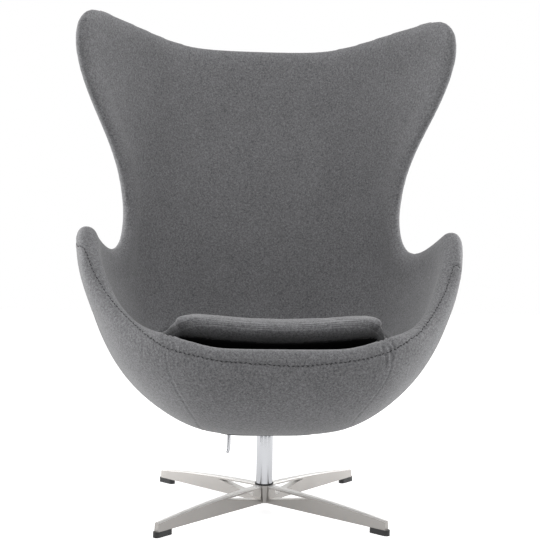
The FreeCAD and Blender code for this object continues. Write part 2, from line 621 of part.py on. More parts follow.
def middle_sheet():
    """The sheet as a cubic surface whose poles are the stations, mirrored to both sides."""
    stations, floor = half_stations()
    net = []
    for (spine_y, spine_z), (rim_x, rim_y, rim_z), fullness in stations:
        first, belly, belly_y, belly_z, flank, flank_y, flank_z = fullness
        reach = rim_y - spine_y
        rise = rim_z - spine_z
        half = [
            V(0, spine_y, floor + spine_z),
            V(first * rim_x, spine_y, floor + spine_z),
            V(belly * rim_x, spine_y + belly_y * reach, floor + spine_z + belly_z * rise),
            V(flank * rim_x, spine_y + flank_y * reach, floor + spine_z + flank_z * rise),
            V(rim_x, rim_y, floor + rim_z),
        ]
        net.append([mirrored(point) for point in reversed(half[1:])] + half)
    surface = Part.BSplineSurface()
    knots = [uniform_knots(len(net)), uniform_knots(len(net[0]))]
    surface.buildFromPolesMultsKnots(net, knots[0][1], knots[1][1], knots[0][0], knots[1][0], False, False, 3, 3)
    return surface


def uniform_knots(count):
    """Knots from 0 to 1 and their multiplicities for so many poles of a clamped cubic."""
    spans = count - 3
    return [index / spans for index in range(spans + 1)], [4] + [1] * (spans - 1) + [4]


def ease(value):
    value = min(max(value, 0), 1)
    return value * value * (3 - 2 * value)


def padding(u, inside):
    """Thickness of the padding, from the middle of the wall, at a station."""
    thick, thin = ("seat_padding", "back_padding") if inside else ("under_padding", "rear_padding")
    share = ease((u - 0.35) / 0.3)
    return size(thick) * (1 - share) + size(thin) * share


def offset_point(spot, distance):
    """The point of the sheet at a spot (u, v), moved inwards off the wall by a distance."""
    u, v = spot
    return WALL.value(u, v) - WALL.normal(u, v) * distance


def steps(start, end, count):
    """Evenly spaced values after the start, up to the end."""
    return [start + (end - start) * index / count for index in range(1, count + 1)]


def rim_corner(u_edge, radius, count):
    """Spots round a corner of the sheet, the corner cut round by a radius."""
    per_u = WALL.getDN(u_edge, 1, 1, 0).Length
    per_v = WALL.getDN(u_edge, 1, 0, 1).Length
    du = radius / per_u
    dv = radius / per_v
    inward = 1 if u_edge == 0 else -1
    spots = []
    for index in range(count + 1):
        angle = 90 * DEG * index / count
        spots.append((u_edge + inward * du * (1 - math.cos(angle)), 1 - dv * (1 - math.sin(angle))))
    return spots if u_edge == 0 else spots[::-1]


def rim_spots():
    """Spots along the right half of the rim, from the middle of the lip to the middle of the top edge."""
    arm_tip = rim_corner(0, size("arm_tip_radius"), 4)
    wing_tip = rim_corner(1, size("wing_tip_radius"), 4)
    lip = [(0, 0.5)] + [(0, v) for v in steps(0.5, APRON_V, 6) + steps(APRON_V, arm_tip[0][1], 6)]
    side = [(u, 1) for u in steps(arm_tip[-1][0], wing_tip[0][0], 28)]
    top = [(1, v) for v in steps(wing_tip[-1][1], 0.5, 10)]
    return lip + arm_tip[1:] + side + wing_tip[1:] + top


def solve(low, high, over):
    """The value between low and high at which a test turns true."""
    for step in range(16):
        middle = (low + high) / 2
        if over(middle):
            high = middle
        else:
            low = middle
    return (low + high) / 2


class Ray:
    """A line across the sheet from the point over the column to a spot on the rim; its place runs from 0 to 1."""

    def __init__(self, spot):
        self.rim = spot
        self.nose = {}

    def spot(self, place):
        return SEAT_U + place * (self.rim[0] - SEAT_U), 0.5 + place * (self.rim[1] - 0.5)

    def point(self, place, distance):
        return offset_point(self.spot(place), distance)

    def inset(self, depth):
        """The place that lies so deep inside the rim, measured straight to the rim."""
        key = round(depth, 3)
        if key not in self.nose:
            length = (WALL.value(*self.spot(1)) - WALL.value(*self.spot(0.9))).Length * 10
            far = max(0.2, 1 - 3.5 * depth / length)
            self.nose[key] = solve(far, 1, lambda place: self.rim_distance(place) < depth)
        return self.nose[key]

    def rim_distance(self, place):
        point = WALL.value(*self.spot(place))
        return (RIM.value(RIM.parameter(point)) - point).Length

    def edge(self, distance, half_width):
        """The place at which the offset sheet passes the outline of the recess under the seat."""
        def outside(place):
            point = self.point(place, distance)
            return (point.x / half_width) ** 4 + (point.y / half_width) ** 4 > 1
        return solve(0, 0.9, outside)


def nose_row(rays, angle, spare=0, dip=0):
    """Points on the rounded rim, at an angle from its crest: inwards if positive, outwards if negative."""
    depth = size("nose_depth") * (1 - math.cos(angle * DEG)) + spare
    row = []
    for ray in rays:
        place = ray.inset(depth) if depth > 0 else 1
        thickness = padding(ray.spot(place)[0], angle > 0) * abs(math.sin(angle * DEG)) - dip
        row.append(ray.point(place, math.copysign(thickness, angle) if angle else 0))
    return row


FIELD = 12


def field_rows(rays, cover, half_width):
    """Points from the rounded rim down to the recess; cover gives the distance off the wall at a station."""
    rows = [[] for index in range(FIELD)]
    for ray in rays:
        start = ray.inset(size("nose_depth"))
        last_cover = cover(ray.spot(0)[0])
        end = ray.edge(last_cover, half_width)
        for index in range(FIELD):
            place = start + (end - start) * ((index + 1) / FIELD) ** 1.3
            rows[index].append(ray.point(place, cover(ray.spot(place)[0])))
    return rows


def spans(points):
    """Places of points along a line, from 0, as their distances add up."""
    places = [0]
    for index in range(1, len(points)):
        places.append(places[-1] + max((points[index] - points[index - 1]).Length, 1))
    return places


def through(points, places):
    """A cubic through points at given places, free at its ends."""
    curve = Part.BSplineCurve()
    curve.interpolate(Points=points, Parameters=places)
    return curve


def end_slopes(points, places, at_front, at_back):
    """Slopes of a row at its ends: square to the middle plane where it ends there, and running on elsewhere."""
    def slope(near, middle, far):
        first = places[middle] - places[near]
        second = places[far] - places[middle]
        rate = (points[middle] - points[near]) / first
        next_rate = (points[far] - points[middle]) / second
        return rate + (rate - next_rate) * (first / (first + second))

    start = slope(0, 1, 2)
    end = slope(-1, -2, -3)
    if at_front:
        start = V((points[1].x - points[0].x) / (places[1] - places[0]), 0, 0)
    if at_back:
        end = V((points[-1].x - points[-2].x) / (places[-1] - places[-2]), 0, 0)
    return start, end


def row_through(points, places, at_front=True, at_back=True):
    """A smooth cubic through the points of a row, with the slopes at its ends held."""
    last = len(points) - 1
    start, end = end_slopes(points, places, at_front, at_back)
    gaps = [places[index + 1] - places[index] for index in range(last)]
    rates = [(points[index + 1] - points[index]) / gaps[index] for index in range(last)]
    shares = [0]
    slopes = [start]
    for index in range(1, last):
        before, after = gaps[index - 1], gaps[index]
        pivot = 2 * (before + after) - after * shares[-1]
        pull = (rates[index - 1] * after + rates[index] * before) * 3 - slopes[-1] * after
        shares.append(before / pivot)
        slopes.append(pull / pivot)
    slopes.append(end)
    for index in range(last - 1, 0, -1):
        slopes[index] = slopes[index] - slopes[index + 1] * shares[index]
    poles = [points[0]]
    for index in range(last):
        near = points[index] + slopes[index] * (gaps[index] / 3)
        far = points[index + 1] - slopes[index + 1] * (gaps[index] / 3)
        lead = gaps[index - 1] / gaps[index] if index else 0
        poles.append(near - (far - near) * lead)
    poles += [far, points[-1]]
    curve = Part.BSplineCurve()
    curve.buildFromPolesMultsKnots(poles, [4] + [1] * (last - 1) + [4], places, False, 3)
    return curve


class Sheet:
    """A smooth face through rows of points, with the poles of its edges at hand."""

    def __init__(self, rows, along, across, at_front=True, at_back=True):
        row_curves = [row_through(row, along, at_front, at_back) for row in rows]
        self.along = row_curves[0]
        poles = [curve.getPoles() for curve in row_curves]
        columns = [through([row[index] for row in poles], across) for index in range(len(poles[0]))]
        self.across = columns[0]
        self.net = [list(row) for row in zip(*[column.getPoles() for column in columns])]

    def face(self):
        surface = Part.BSplineSurface()
        surface.buildFromPolesMultsKnots(self.net, self.across.getMultiplicities(), self.along.getMultiplicities(),
                                         self.across.getKnots(), self.along.getKnots(), False, False, 3, 3)
        return surface.toShape()

    def first(self):
        return self.net[0]

    def last(self):
        return self.net[-1]

    def side(self, index):
        return [row[index] for row in self.net]


def strip(one, other, pattern):
    """A ruled face between two edges given by their poles; the pattern is a curve with their knots."""
    surface = Part.BSplineSurface()
    surface.buildFromPolesMultsKnots([one, other], [2, 2], pattern.getMultiplicities(), [0, 1], pattern.getKnots(),
                                     False, False, 1, 3)
    return surface.toShape()


def edge_of(poles, pattern):
    curve = Part.BSplineCurve()
    curve.buildFromPolesMultsKnots(poles, pattern.getMultiplicities(), pattern.getKnots(), False, 3)
    return curve.toShape()


def flat_cap(poles, pattern):
    """A flat face inside an outline that is given by the poles of its right half."""
    right = edge_of(poles, pattern)
    left = edge_of([mirrored(point) for point in poles], pattern)
    return Part.Face(Part.Wire([right, left]))


def at_height(poles, height):
    return [V(point.x, point.y, height) for point in poles]


def closed(faces, both_sides=True):
    """A solid from the faces of its right half, or of one side piece, and any flat caps."""
    halves = list(faces)
    if both_sides:
        halves += [face.mirror(V(0, 0, 0), V(1, 0, 0)) for face in faces]
    return halves


def solid_of(faces):
    shape = Part.Compound(faces)
    shape.sewShape(0.001)
    shell = shape.Shells[0] if shape.Shells else Part.Shell(shape.Faces)
    solid = Part.Solid(shell)
    if solid.Volume < 0:
        solid.reverse()
    return solid


def free_form(label, shape):
    thing = finished(doc.addObject("Part::Feature", label), label)
    thing.Shape = shape
    return thing


WALL = middle_sheet()
SEAT_U = solve(0.2, 0.6, lambda u: WALL.value(u, 0.5).y > 0)
APRON_V = solve(0.5, 1, lambda v: WALL.value(0, v).x > size("apron_half_width"))
RIM_ROW = [WALL.value(*spot) for spot in rim_spots()]
ALONG = spans(RIM_ROW)
RIM = row_through(RIM_ROW, ALONG)
RAYS = [Ray(spot) for spot in rim_spots()]
APRON_RAY = 6


def across_rows(rows):
    """Places of rows for the cubics that run across them, taken along the arm where rows are close."""
    middle = len(rows[0]) // 2
    return spans([row[middle] for row in rows])


def shell_core():
    """The moulded wall: its two sides, the edge at the rim, and the recess for the mechanism."""
    half = size("core_thickness") / 2
    low = worked(WELL_CEILING)
    high = low + size("core_thickness")
    seam = size("seam_angle")
    sheets = []
    for side, reach in ((-half, size("well_half_width")), (half, size("well_half_width") + 2 * half)):
        depth = size("nose_depth") * (1 - math.cos(seam * DEG)) + size("layer_gap")
        edge_row = [ray.point(ray.inset(depth), side) for ray in RAYS]
        rows = [edge_row] + field_rows(RAYS, lambda u, side=side: side, reach)
        sheets.append(Sheet(rows, ALONG, across_rows(rows)))
    outer, inner = sheets
    pattern = outer.along
    outer_top = at_height(outer.last(), low)
    inner_top = at_height(inner.last(), high)
    faces = closed([
        outer.face(),
        inner.face(),
        strip(outer.first(), inner.first(), pattern),
        strip(outer.last(), outer_top, pattern),
        strip(inner.last(), inner_top, pattern),
    ]) + [flat_cap(outer_top, pattern), flat_cap(inner_top, pattern)]
    solid = solid_of(faces)
    barrel = size("insert_barrel") / 2 + size("running_fit")
    spread = size("seat_screw_spread")
    for x in (-spread, spread):
        for y in (-spread, spread):
            solid = solid.cut(Part.makeCylinder(barrel, high - low + 2, V(x, y, low - 1)))
    free_form("shell_core", solid)


def inner_upholstery():
    """Padding and cover of the inside, drawn over the rim to the sewn seam outside it."""
    seam = size("seam_angle")
    hidden = size("core_thickness") / 2 + size("layer_gap")
    opening = size("well_half_width") + size("core_thickness") + size("layer_gap")
    show = [nose_row(RAYS, -seam, dip=size("seam_dip"))]
    show += [nose_row(RAYS, angle) for angle in (-60, -40, -20, 0, 20, 40, 60, 80)]
    show += field_rows(RAYS, lambda u: padding(u, True), opening)
    depth = size("nose_depth") * (1 - math.cos(seam * DEG))
    back = [[ray.point(ray.inset(depth), hidden) for ray in RAYS]]
    back += field_rows(RAYS, lambda u: hidden, opening)
    show_sheet = Sheet(show, ALONG, across_rows(show))
    back_sheet = Sheet(back, ALONG, across_rows(back))
    pattern = show_sheet.along
    faces = closed([
        show_sheet.face(),
        back_sheet.face(),
        strip(show_sheet.first(), back_sheet.first(), pattern),
        strip(show_sheet.last(), back_sheet.last(), pattern),
    ])
    free_form("inner_upholstery", solid_of(faces))


def outer_cover(label, rays, along, at_front, at_back):
    """A piece of the outside padding and cover, between two rays or the middle plane."""
    seam = size("seam_angle")
    hidden = size("core_thickness") / 2 + size("layer_gap")
    opening = size("well_half_width") - size("layer_gap")
    gap = size("layer_gap")
    show = [nose_row(rays, -seam, spare=gap, dip=size("seam_dip"))]
    show += field_rows(rays, lambda u: -padding(u, False), opening)
    depth = size("nose_depth") * (1 - math.cos(seam * DEG)) + gap
    back = [[ray.point(ray.inset(depth), -hidden) for ray in rays]]
    back += field_rows(rays, lambda u: -hidden, opening)
    across = across_rows(show)
    show_sheet = Sheet(show, along, across, at_front, at_back)
    back_sheet = Sheet(back, along, across, at_front, at_back)
    pattern = show_sheet.along
    faces = [
        show_sheet.face(),
        back_sheet.face(),
        strip(show_sheet.first(), back_sheet.first(), pattern),
        strip(show_sheet.last(), back_sheet.last(), pattern),
    ]
    end = 0 if at_back else -1
    faces.append(strip(show_sheet.side(end), back_sheet.side(end), show_sheet.across))
    free_form(label, solid_of(closed(faces)))


def outer_covers():
    """The front apron and the cover of the sides and back, with a sewn seam between them."""
    slip = size("layer_gap") / 2 / WALL.getDN(0, APRON_V, 0, 1).Length
    front_rays = RAYS[:APRON_RAY] + [Ray((0, APRON_V - slip))]
    rear_rays = [Ray((0, APRON_V + slip))] + RAYS[APRON_RAY + 1:]
    outer_cover("front_apron", front_rays, ALONG[:APRON_RAY + 1], True, False)
    outer_cover("outer_upholstery", rear_rays, ALONG[APRON_RAY:], False, True)


def deck_height(x, y):
    """Height of the seat deck: it falls to the back and is hollow from side to side."""
    front = worked(SEAT_FLOOR) + size("lip_rise") - size("deck_drop")
    return front - (y + size("cushion_front")) * math.tan(size("deck_slope") * DEG) + x * x / (2 * size("deck_radius"))


def lifted(point):
    """The point of the deck above or below a point."""
    return V(point.x, point.y, deck_height(point.x, point.y))


def bowl_curves(clearance):
    """For each ray, a curve up the inside of the bowl from the recess to the rim, clear of its cover."""
    opening = size("well_half_width") + size("core_thickness") + size("layer_gap")
    rows = [nose_row(RAYS, angle, dip=-clearance) for angle in (20, 40, 60, 80)]
    rows += field_rows(RAYS, lambda u: padding(u, True) + clearance, opening)
    rows.reverse()
    places = across_rows(rows)
    return [through([row[index] for row in rows], places) for index in range(len(RAYS))]


def crossing(curve, height):
    """Place on a bowl curve where it comes up through a surface, or its end at the rim."""
    def above(place):
        point = curve.value(place)
        return point.z > height(point.x, point.y)
    start, end = curve.FirstParameter, curve.LastParameter
    tries = [start + (end - start) * index / 60 for index in range(61)]
    first = [place for place in tries if above(place)]
    return solve(start, first[0], above) if first else end


def seat_block():
    """Moulded foam that fills the bowl under the cushion, hollow over the recess."""
    curves = bowl_curves(size("layer_gap"))
    crossings = [crossing(curve, deck_height) for curve in curves]
    rim = [lifted(curve.value(place)) for curve, place in zip(curves, crossings)]
    count = 24
    under = []
    for index in range(count + 1):
        row = []
        for curve, place in zip(curves, crossings):
            start = curve.FirstParameter
            row.append(curve.value(start + (place - start) * index / count))
        under.append(row)
    under[-1] = rim
    centre = V(0, (rim[0].y + rim[-1].y) / 2, 0)
    top = [rim] + [[lifted(centre + (point - centre) * (1 - share)) for point in rim] for share in shares_in(5)]
    inmost = [centre + (point - centre) * MIDDLE_SHARE for point in rim]
    top.append([V(point.x, point.y, deck_height(0, point.y)) for point in inmost])
    under_sheet = Sheet(under, ALONG, across_rows(under))
    top_sheet = Sheet(top, ALONG, across_rows(top))
    pattern = under_sheet.along
    ceiling = worked(WELL_CEILING) + size("core_thickness") + size("insert_flange") + size("layer_gap")
    foot = at_height(under_sheet.first(), ceiling)
    faces = closed([
        under_sheet.face(),
        top_sheet.face(),
        strip(under_sheet.first(), foot, pattern),
    ]) + [flat_cap(foot, pattern), flat_cap(top_sheet.last(), pattern)]
    free_form("seat_block", solid_of(faces))


def bottom_panel():
    """Cover under the recess: a flat plate with a rim that follows the shell, and holes for column and lever."""
    gap = size("layer_gap")
    outside = size("well_half_width") + size("panel_margin")
    inside = size("well_half_width") - 2 * gap
    floor = worked(SEAT_FLOOR) - size("panel_drop")
    rows = []
    for index in range(4):
        reach = outside + (inside - outside) * index / 3
        row = []
        for ray in RAYS:
            cover = -padding(SEAT_U, False) - gap
            row.append(ray.point(ray.edge(cover, reach), cover))
        rows.append(row)
    rim = Sheet(rows, ALONG, across_rows(rows))
    pattern = rim.along
    under = at_height(rim.first(), floor)
    plate = at_height(rim.last(), floor + size("panel_thickness"))
    faces = closed([
        rim.face(),
        strip(rim.first(), under, pattern),
        strip(rim.last(), plate, pattern),
    ]) + [flat_cap(under, pattern), flat_cap(plate, pattern)]
    margin = size("hole_margin")
    below_axle = worked(AXLE_HEIGHT) - floor
    column = size("column_diameter") / 2 + margin
    lever = size("lever_diameter") / 2 + margin
    shift = below_axle * math.sin(size("tilt_limit") * DEG)
    swing = below_axle * math.tan(size("lever_swing") * DEG)
    solid = solid_of(faces)
    solid = solid.cut(slot(0, -column, column + shift, column, floor))
    start = -size("brake_reach") - swing - lever
    solid = solid.cut(slot(-size("lever_out"), start, lever - size("brake_reach"), lever, floor))
    free_form("bottom_panel", solid)


def slot(x, low, high, radius, floor):
    """An upright bar with round ends that runs along Y, to cut a slot in the bottom panel."""
    height = size("panel_thickness") + 2
    base = floor - 1
    ends = [Part.makeCylinder(radius, height, V(x, y, base)) for y in (low + radius, high - radius)]
    middle = Part.makeBox(2 * radius, high - low - 2 * radius, height, V(x - radius, low + radius, base))
    return middle.fuse(ends)


# The cushion lies loose on the deck, over a black lining

def cushion_bed(x, y, share=1):
    """Height of the underside of the cushion: on the lining, and curled up, by a share, towards its front."""
    forward = ease((-y - size("curl_start")) / (size("cushion_front") - size("curl_start")))
    corner = min(abs(x) / size("apron_half_width"), 1) ** 2
    lift = size("cushion_lift") + size("cushion_smile") * corner
    return deck_height(x, y) + size("lining_thickness") + 2 * size("layer_gap") + lift * forward * share


def cushion_outline():
    """The widest line round the right half of the cushion, held off the bowl and back from the lip."""
    half_edge = size("cushion_edge") / 2
    outline = []
    for curve in bowl_curves(size("cushion_side_gap")):
        point = curve.value(crossing(curve, lambda x, y: cushion_bed(x, y, 0.3) + half_edge))
        stop = -size("cushion_front") + size("cushion_bow") * (point.x / size("apron_half_width")) ** 2
        middle = (point.y + stop) / 2
        reach = math.hypot((point.y - stop) / 2, size("cushion_corner"))
        outline.append(V(point.x, middle + reach, 0))
    return outline


def cushion_ring(outline, inset, height):
    """A ring drawn in from the outline towards the middle; height gives how high it is over the bed."""
    centre = V(0, (outline[0].y + outline[-1].y) / 2, 0)
    ring = []
    for point in outline:
        depth = inset(point, centre) / (centre - point).Length
        spot = point + (centre - point) * depth
        ring.append(V(spot.x, spot.y, cushion_bed(spot.x, spot.y) + height(depth)))
    return ring


def middle_ring(outline, height):
    """The small flat ring round the middle, where a skin of the cushion is closed by a flat face."""
    centre = V(0, (outline[0].y + outline[-1].y) / 2, 0)
    spots = [centre + (point - centre) * MIDDLE_SHARE for point in outline]
    return [V(spot.x, spot.y, cushion_bed(0, spot.y) + height) for spot in spots]


MIDDLE_SHARE = 0.15


def shares_in(count):
    """Places between the rolled edge and the small middle ring, as shares of the way in."""
    return [(1 - MIDDLE_SHARE) * index / count for index in range(1, count)]


def underside(outline, height):
    """Rings from just inside the edge of the cushion to the middle, at a height over its bed."""
    rows = [cushion_ring(outline, lambda point, centre: size("cushion_overhang"), lambda depth: height)]
    for share in shares_in(9):
        rows.append(cushion_ring(outline, lambda point, centre: (centre - point).Length * share,
                                 lambda depth: height))
    return rows + [middle_ring(outline, height)]


def seat_cushion(outline):
    half_edge = size("cushion_edge") / 2
    extra = size("cushion_crown") - size("cushion_edge")

    def crown(depth):
        return size("cushion_edge") + extra * (1 - (1 - depth) ** 2)

    rows = underside(outline, 0)[::-1]
    for angle in range(-72, 73, 24):
        inset = half_edge * (1 - math.cos(angle * DEG))
        height = half_edge * (1 + math.sin(angle * DEG))
        rows.append(cushion_ring(outline, lambda point, centre: inset, lambda depth: height))
    for share in shares_in(6):
        rows.append(cushion_ring(outline, lambda point, centre: (centre - point).Length * share, crown))
    rows.append(middle_ring(outline, crown(1 - MIDDLE_SHARE)))
    skin = Sheet(rows, ALONG, across_rows(rows))
    pattern = skin.along
    caps = [flat_cap(skin.first(), pattern), flat_cap(skin.last(), pattern)]
    free_form("seat_cushion", solid_of(closed([skin.face()]) + caps))


def cushion_lining(outline):
    """A thin pad sewn under the cushion, set back from its edge."""
    gap = size("layer_gap")
    sheets = []
    for height in (-gap, -gap - size("lining_thickness")):
        rows = underside(outline, height)
        sheets.append(Sheet(rows, ALONG, across_rows(rows)))
    upper, lower = sheets
    pattern = upper.along
    caps = [flat_cap(sheet.last(), pattern) for sheet in sheets]
    faces = closed([upper.face(), lower.face(), strip(upper.first(), lower.first(), pattern)])
    free_form("cushion_lining", solid_of(faces + caps))


def cushion():
    outline = cushion_outline()
    seat_cushion(outline)
    cushion_lining(outline)


def check():
    doc.recompute()
    for thing in doc.Objects:
        if "Invalid" in thing.State or "Error" in thing.State:
            raise RuntimeError("%s did not build" % thing.Name)
    for part in PARTS:
        if part.Shape.isNull() or not part.Shape.isValid() or part.Shape.Volume <= 0:
            raise RuntimeError("%s is not a sound solid" % part.Label)


def export():
    os.makedirs("parts", exist_ok=True)
    for part in PARTS:
        part.Shape.exportStep("parts/%s.step" % part.Label)
        print("%-24s %2d solids %12.1f mm3" % (part.Label, len(part.Shape.Solids), part.Shape.Volume))


star_base()
glides()
column()
spindle()
tilt_housing()
brake_segment()
tilt_axle()
stop_buffers()
seat_bracket()
seat_screws()
tilt_lever()
brake_cam()
shell_core()
inner_upholstery()
outer_covers()
seat_block()
bottom_panel()
cushion()
check()
export()
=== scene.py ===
import math

import bmesh
import bpy
from mathutils import Matrix, Vector
from mathutils.bvhtree import BVHTree
from mathutils.kdtree import KDTree
from mathutils.kdtree import KDTree


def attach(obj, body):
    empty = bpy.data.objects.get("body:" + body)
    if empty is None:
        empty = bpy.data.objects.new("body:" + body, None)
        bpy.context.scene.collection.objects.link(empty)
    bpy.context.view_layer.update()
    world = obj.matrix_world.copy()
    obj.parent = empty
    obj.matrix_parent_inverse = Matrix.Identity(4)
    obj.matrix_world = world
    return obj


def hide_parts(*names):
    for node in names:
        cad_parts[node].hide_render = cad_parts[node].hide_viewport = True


# Lounge chair: a shell covered in grey wool felt, on a chrome column and a cast star base.
# Every length is in metres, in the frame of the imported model: the sitter faces -Y.

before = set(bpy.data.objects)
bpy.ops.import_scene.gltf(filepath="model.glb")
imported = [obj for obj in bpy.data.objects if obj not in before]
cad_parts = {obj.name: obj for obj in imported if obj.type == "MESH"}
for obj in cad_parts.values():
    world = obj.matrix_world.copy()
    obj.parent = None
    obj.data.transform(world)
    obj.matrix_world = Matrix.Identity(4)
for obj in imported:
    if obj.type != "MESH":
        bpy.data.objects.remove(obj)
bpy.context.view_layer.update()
scene = bpy.context.scene
scene.view_settings.view_transform = "Standard"


# Camera. It stands in front of the chair, a little to its left, at the height of the arms.
# Its place and turn were solved from the glides, the column and the symmetry of the shell.

CAMERA_PLACE = Vector((-0.169, -2.110, 0.566))
CAMERA_YAW = math.radians(4.72)
CAMERA_PITCH = math.radians(-1.47)
CAMERA_ROLL = math.radians(0.93)
CAMERA_FIELD = math.radians(30.74)

ahead = Vector((
    math.sin(CAMERA_YAW) * math.cos(CAMERA_PITCH),
    math.cos(CAMERA_YAW) * math.cos(CAMERA_PITCH),
    math.sin(CAMERA_PITCH),
))
level_right = Vector((math.cos(CAMERA_YAW), -math.sin(CAMERA_YAW), 0))
level_up = level_right.cross(ahead)
right = level_right * math.cos(CAMERA_ROLL) + level_up * math.sin(CAMERA_ROLL)
up = level_up * math.cos(CAMERA_ROLL) - level_right * math.sin(CAMERA_ROLL)
lens = bpy.data.cameras.new("camera")
lens.lens = lens.sensor_width / 2 / math.tan(CAMERA_FIELD / 2)
camera = bpy.data.objects.new("camera", lens)
camera.matrix_world = Matrix((
    (right.x, up.x, -ahead.x, CAMERA_PLACE.x),
    (right.y, up.y, -ahead.y, CAMERA_PLACE.y),
    (right.z, up.z, -ahead.z, CAMERA_PLACE.z),
    (0, 0, 0, 1),
))
scene.collection.objects.link(camera)
scene.camera = camera


# Studio. A pale seamless floor under a white surround. Large soft lamps at both sides, a little behind
# the chair, give it a light outline, and one above and in front lights the seat and the back.
# The floor keeps a faint shadow.

def linear(code):
    """A colour written as sRGB hex, as the linear colour that a shader takes."""
    parts = [int(code[place:place + 2], 16) / 255 for place in (1, 3, 5)]
    return [part / 12.92 if part <= 0.04045 else ((part + 0.055) / 1.055) ** 2.4 for part in parts] + [1]


def add_node(tree, kind, inputs=None, **settings):
    """A shader node with its settings; inputs holds numbers or colours, or the sockets to link from."""
    made = tree.nodes.new(kind)
    for name, value in settings.items():
        setattr(made, name, value)
    for name, value in (inputs or {}).items():
        socket = made.inputs[name]
        if isinstance(value, bpy.types.NodeSocket):
            tree.links.new(value, socket)
        else:
            socket.default_value = value
    return made


def new_tree(thing):
    """The emptied node tree of a new material or of the world."""
    thing.use_nodes = True
    thing.node_tree.nodes.clear()
    return thing.node_tree


def seen_directly(tree):
    """A socket that is 1 where the camera, a mirror or glass looks at the surface."""
    path = add_node(tree, "ShaderNodeLightPath")
    seen = path.outputs["Is Camera Ray"]
    for kind in ("Is Glossy Ray", "Is Transmission Ray"):
        either = add_node(tree, "ShaderNodeMath", {0: seen, 1: path.outputs[kind]}, operation="MAXIMUM")
        seen = either.outputs[0]
    return seen


SURROUND_LIGHT = 0.38
world = bpy.data.worlds.new("studio")
scene.world = world
tree = new_tree(world)
seen = seen_directly(tree)
dim = add_node(tree, "ShaderNodeBackground", {"Color": linear("#ffffff"), "Strength": SURROUND_LIGHT})
bright = add_node(tree, "ShaderNodeBackground", {"Color": linear("#ffffff"), "Strength": 1.0})
mix = add_node(tree, "ShaderNodeMixShader", {0: seen, 1: dim.outputs[0], 2: bright.outputs[0]})
add_node(tree, "ShaderNodeOutputWorld", {"Surface": mix.outputs[0]})

FLOOR_REACH = 6.0
FLOOR_GLOW = 0.80
floor_form = bmesh.new()
bmesh.ops.create_grid(floor_form, x_segments=2, y_segments=2, size=FLOOR_REACH)
floor_mesh = bpy.data.meshes.new("floor")
floor_form.to_mesh(floor_mesh)
floor_form.free()
floor = bpy.data.objects.new("floor", floor_mesh)
scene.collection.objects.link(floor)
paper = bpy.data.materials.new("studio_paper")
tree = new_tree(paper)
seen = seen_directly(tree)
matt = add_node(tree, "ShaderNodeBsdfDiffuse", {"Color": linear("#e4e4e4")})
glow = add_node(tree, "ShaderNodeEmission", {"Color": linear("#ffffff"), "Strength": FLOOR_GLOW})
nothing = add_node(tree, "ShaderNodeEmission", {"Strength": 0.0})
lift = add_node(tree, "ShaderNodeMixShader", {0: seen, 1: nothing.outputs[0], 2: glow.outputs[0]})
both = add_node(tree, "ShaderNodeAddShader", {0: matt.outputs[0], 1: lift.outputs[0]})
add_node(tree, "ShaderNodeOutputMaterial", {"Surface": both.outputs[0]})
floor.data.materials.append(paper)


def area_lamp(name, place, target, size, power):
    """A soft lamp that faces a point."""
    data = bpy.data.lights.new(name, "AREA")
    data.shape = "RECTANGLE"
    data.size, data.size_y = size
    data.energy = power
    lamp = bpy.data.objects.new(name, data)
    lamp.location = place
    lamp.rotation_mode = "QUATERNION"
    lamp.rotation_quaternion = (Vector(target) - Vector(place)).to_track_quat("-Z", "Y")
    scene.collection.objects.link(lamp)


area_lamp("lamp_left", (-2.3, 0.35, 0.9), (0, 0, 0.55), (1.6, 2.2), 56)
area_lamp("lamp_right", (2.3, 0.35, 0.9), (0, 0, 0.55), (1.6, 2.2), 54)
area_lamp("lamp_over", (0, -1.2, 3.0), (0, 0, 0.6), (2.4, 1.6), 37)


# Felt cover of the shell. Wool felt glued over foam, stretched over the moulded wall and hand-sewn together:
# one piece lines the inside and turns over the rim, one covers sides and back, and an apron closes the front.

def merged_copy(nodes, name):
    """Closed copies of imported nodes' meshes, joined in one new piece."""
    form = bmesh.new()
    for node in nodes:
        form.from_mesh(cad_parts[node].data)
    bmesh.ops.remove_doubles(form, verts=form.verts, dist=0.00002)
    for face in form.faces:
        face.material_index = 0
        face.smooth = True
    mesh = bpy.data.meshes.new(name)
    form.to_mesh(mesh)
    form.free()
    piece = bpy.data.objects.new(name, mesh)
    scene.collection.objects.link(piece)
    return piece


def keep_shape(piece):
    """Applies the piece's modifiers to its mesh."""
    bpy.context.view_layer.update()
    done = piece.evaluated_get(bpy.context.evaluated_depsgraph_get())
    mesh = bpy.data.meshes.new_from_object(done)
    old = piece.data
    piece.modifiers.clear()
    piece.data = mesh
    bpy.data.meshes.remove(old)


def even_mesh(piece, voxel):
    """Gives the piece an even mesh of small quads."""
    remesh = piece.modifiers.new("remesh", "REMESH")
    remesh.mode = "VOXEL"
    remesh.voxel_size = voxel
    keep_shape(piece)


def relax(form, verts, turns):
    """Lets vertices settle between their neighbours, some turns over."""
    for turn in range(turns):
        bmesh.ops.smooth_vert(form, verts=verts, factor=0.5,
                              use_axis_x=True, use_axis_y=True, use_axis_z=True)


def save_form(form, piece):
    """Writes the bmesh to the piece, smooth shaded."""
    for face in form.faces:
        face.smooth = True
    form.to_mesh(piece.data)
    form.free()
    piece.data.update()


def surface_tree(piece):
    """A search tree of the surface of a piece."""
    form = bmesh.new()
    form.from_mesh(piece.data)
    tree = BVHTree.FromBMesh(form)
    form.free()
    return tree


COVER_MESH = 0.006
COVER_SETTLING = 4
cover = merged_copy(["inner_upholstery", "outer_upholstery", "front_apron", "shell_core"], "felt_cover")
even_mesh(cover, COVER_MESH)
cover_form = bmesh.new()
cover_form.from_mesh(cover.data)
relax(cover_form, cover_form.verts, COVER_SETTLING)

